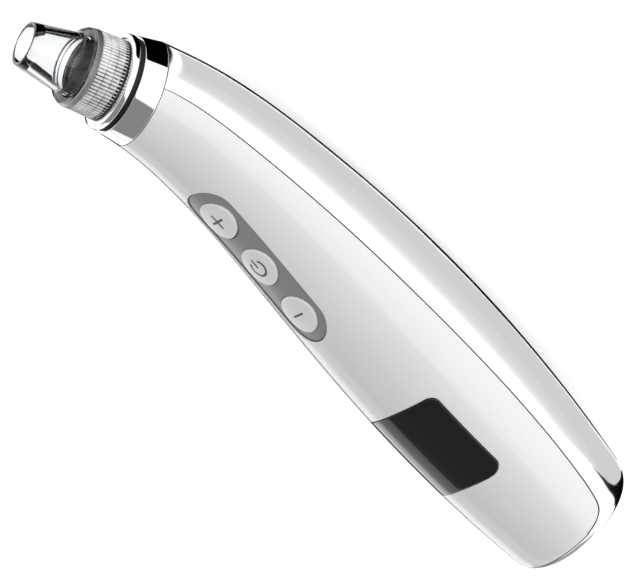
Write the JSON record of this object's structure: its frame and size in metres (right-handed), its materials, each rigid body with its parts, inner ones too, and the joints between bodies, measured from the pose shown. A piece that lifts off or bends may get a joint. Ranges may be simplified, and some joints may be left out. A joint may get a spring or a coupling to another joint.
{
  "type": "blackhead vacuum extractor",
  "caption": "Cordless facial pore vacuum: curved white and silver handle with keys, a display window, a chrome collar and a clear pull-off suction tip.",
  "frame": {"origin": "middle of the bounding box's base, where the back of the handle rests", "axes": "+X along the handle towards the suction tip, +Z out of the front with the keys and the display, +Y across"},
  "size_m": [0.1898, 0.0434, 0.0448],
  "materials": {
    "white_shell": "gloss white moulded ABS",
    "silver_shell": "bright silver plating on moulded ABS",
    "chrome_ring": "mirror chrome plating",
    "clear_plastic": "clear polycarbonate",
    "grey_panel": "satin mid grey",
    "button_grey": "satin light grey",
    "black_lens": "gloss black acrylic",
    "display_black": "black display module",
    "white_nylon": "natural nylon",
    "black_rubber": "black silicone",
    "clear_silicone": "milky silicone",
    "sponge_grey": "dark grey open foam",
    "board_green": "green solder mask",
    "chip_black": "black moulded case",
    "steel": "bright zinc plated steel",
    "core_steel": "laminated steel",
    "magnet": "sintered ferrite",
    "copper": "enamelled copper",
    "bronze": "sintered bronze",
    "cell_wrap": "blue shrink wrap",
    "lead_red": "insulated lead"
  },
  "bodies": {
    "handle": {"front_shell": "white_shell", "rear_shell": "silver_shell", "button_panel": "grey_panel", "display_window": "black_lens", "head_ring": "chrome_ring", "nozzle_base": "white_nylon", "nozzle_o_ring": "black_rubber", "filter_sponge": "sponge_grey", "tip_seal": "black_rubber", "switch_plus": "steel", "switch_power": "steel", "switch_minus": "steel", "main_board": "board_green", "board_screws": "steel", "controller_chip": "chip_black", "display_module": "display_black", "motor_can": "steel", "motor_end_cap": "chip_black", "motor_front_bush": "bronze", "motor_rear_bush": "bronze", "motor_magnets": "magnet", "pump_case": "white_nylon", "wobble_plate": "white_nylon", "pump_diaphragm": "black_rubber", "valve_plate": "white_nylon", "pump_cap": "white_nylon", "pump_sleeves": "black_rubber", "pump_cradle": "white_nylon", "battery_cradle": "white_nylon", "battery_cell": "cell_wrap", "charging_port": "steel", "port_tongue": "chip_black", "charge_board": "board_green", "suction_hose": "clear_silicone", "motor_leads": "lead_red", "power_leads": "lead_red", "battery_leads": "lead_red"},
    "tip": {"suction_tip": "clear_plastic"},
    "plus_key": {"button_plus": "button_grey", "switch_stem_plus": "chip_black"},
    "power_key": {"button_power": "button_grey", "switch_stem_power": "chip_black"},
    "minus_key": {"button_minus": "button_grey", "switch_stem_minus": "chip_black"},
    "rotor": {"rotor_core": "core_steel", "rotor_windings": "copper", "commutator": "copper", "rotor_shaft": "steel", "eccentric_wheel": "white_nylon", "crank_pin": "steel"}
  },
  "joints": [
    {"name": "tip_pull", "type": "slide", "parent": "handle", "child": "tip", "axis": [0.9205, 0, 0.3907], "range_m": [0, 0.045]},
    {"name": "plus_press", "type": "slide", "parent": "handle", "child": "plus_key", "axis": [-0.1097, 0, -0.994], "range_m": [0, 0.0004], "stiffness_N_per_m": 3000},
    {"name": "power_press", "type": "slide", "parent": "handle", "child": "power_key", "axis": [-0.1097, 0, -0.994], "range_m": [0, 0.0004], "stiffness_N_per_m": 3000},
    {"name": "minus_press", "type": "slide", "parent": "handle", "child": "minus_key", "axis": [-0.1097, 0, -0.994], "range_m": [0, 0.0004], "stiffness_N_per_m": 3000},
    {"name": "rotor_spin", "type": "hinge", "parent": "handle", "child": "rotor", "pos_m": [0, 0, 0.0152], "axis": [1, 0, 0], "continuous": true}
  ]
}
